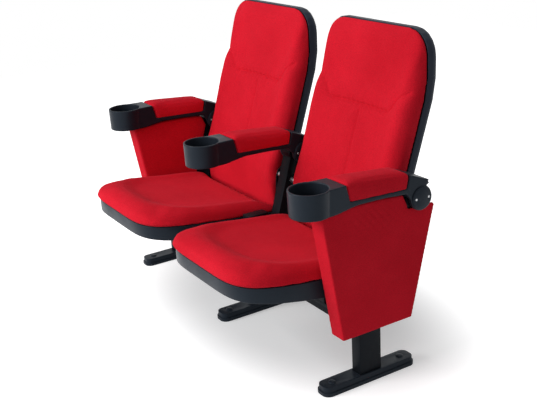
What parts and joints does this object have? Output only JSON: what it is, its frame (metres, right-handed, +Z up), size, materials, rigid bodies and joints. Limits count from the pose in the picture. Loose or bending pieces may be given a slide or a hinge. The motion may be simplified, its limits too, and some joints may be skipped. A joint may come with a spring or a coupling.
{
  "type": "cinema seat pair",
  "caption": "Joined pair of upholstered cinema seats with reclining backs, sliding seats and lifting arms with cup holders on floor columns.",
  "frame": {"origin": "on the floor, in the middle of the pair's width and depth", "axes": "+X to the right of the row as seen from in front of the seats' left, along the row; +Y to the rear; +Z up; the seats face -Y"},
  "size_m": [1.275, 0.6968, 0.957],
  "materials": {
    "red_cloth": "short dense pile cloth, matt, with a soft sheen",
    "black_moulding": "black injection moulding, fine grain, satin",
    "shell_moulding": "black injection moulding, fine grain, satin",
    "black_steel": "black powder coat, satin",
    "zinc_steel": "zinc plated",
    "plywood": "raw plywood, hidden under cloth and foam"
  },
  "bodies": {
    "base": {"foot_plate_left": "black_steel", "foot_plate_middle": "black_steel", "foot_plate_right": "black_steel", "foot_cover_left": "black_moulding", "foot_cover_middle": "black_moulding", "foot_cover_right": "black_moulding", "anchor_nuts": "zinc_steel", "anchor_plugs": "black_moulding", "column_left": "black_steel", "column_middle": "black_steel", "column_right": "black_steel", "post_left": "black_steel", "post_middle": "black_steel", "post_right": "black_steel", "beam_front": "black_steel", "beam_rear": "black_steel", "beam_bolts": "zinc_steel", "panel_board_left": "plywood", "panel_board_right": "plywood", "panel_cover_left": "red_cloth", "panel_cover_right": "red_cloth", "hub_pin_left": "zinc_steel", "hub_pin_middle": "zinc_steel", "hub_pin_right": "zinc_steel", "slide_rails_left": "black_steel", "slide_rails_right": "black_steel", "pivot_pins_left": "zinc_steel", "pivot_pins_middle": "zinc_steel", "pivot_pins_right": "zinc_steel"},
    "arm_left": {"arm_body_left": "black_moulding", "pad_board_left": "plywood", "pad_cover_left": "red_cloth", "hub_caps_left": "black_moulding", "cap_screws_left": "zinc_steel"},
    "arm_middle": {"arm_body_middle": "black_moulding", "pad_board_middle": "plywood", "pad_cover_middle": "red_cloth", "hub_caps_middle": "black_moulding", "cap_screws_middle": "zinc_steel"},
    "arm_right": {"arm_body_right": "black_moulding", "pad_board_right": "plywood", "pad_cover_right": "red_cloth", "hub_caps_right": "black_moulding", "cap_screws_right": "zinc_steel"},
    "seat_left": {"carriage_left": "black_steel", "seat_pan_left": "shell_moulding", "seat_cushion_left": "red_cloth"},
    "back_left": {"back_frame_left": "black_steel", "back_shell_left": "shell_moulding", "back_cushion_left": "red_cloth"},
    "seat_right": {"carriage_right": "black_steel", "seat_pan_right": "shell_moulding", "seat_cushion_right": "red_cloth"},
    "back_right": {"back_frame_right": "black_steel", "back_shell_right": "shell_moulding", "back_cushion_right": "red_cloth"}
  },
  "joints": [
    {"name": "arm_left_lift", "type": "hinge", "parent": "base", "child": "arm_left", "pos_m": [-0.58, 0.19456, 0.522], "axis": [-1, 0, 0], "range_deg": [0, 90]},
    {"name": "arm_middle_lift", "type": "hinge", "parent": "base", "child": "arm_middle", "pos_m": [0, 0.19456, 0.522], "axis": [-1, 0, 0], "range_deg": [0, 90]},
    {"name": "arm_right_lift", "type": "hinge", "parent": "base", "child": "arm_right", "pos_m": [0.58, 0.19456, 0.522], "axis": [-1, 0, 0], "range_deg": [0, 90]},
    {"name": "back_left_recline", "type": "hinge", "parent": "base", "child": "back_left", "pos_m": [-0.29, 0.16256, 0.43], "axis": [-1, 0, 0], "range_deg": [0, 12], "stiffness_Nm_per_rad": 80, "springref_deg": -20.05},
    {"name": "seat_left_slide", "type": "slide", "parent": "base", "child": "seat_left", "axis": [0, -0.996, 0.0889], "range_m": [0, 0.0399]},
    {"name": "back_right_recline", "type": "hinge", "parent": "base", "child": "back_right", "pos_m": [0.29, 0.16256, 0.43], "axis": [-1, 0, 0], "range_deg": [0, 12], "stiffness_Nm_per_rad": 80, "springref_deg": -20.05},
    {"name": "seat_right_slide", "type": "slide", "parent": "base", "child": "seat_right", "axis": [0, -0.996, 0.0889], "range_m": [0, 0.0399]}
  ],
  "couplings": [
    {"joint": "seat_left_slide", "follows": "back_left_recline", "m_per_rad": 0.19},
    {"joint": "seat_right_slide", "follows": "back_right_recline", "m_per_rad": 0.19}
  ]
}
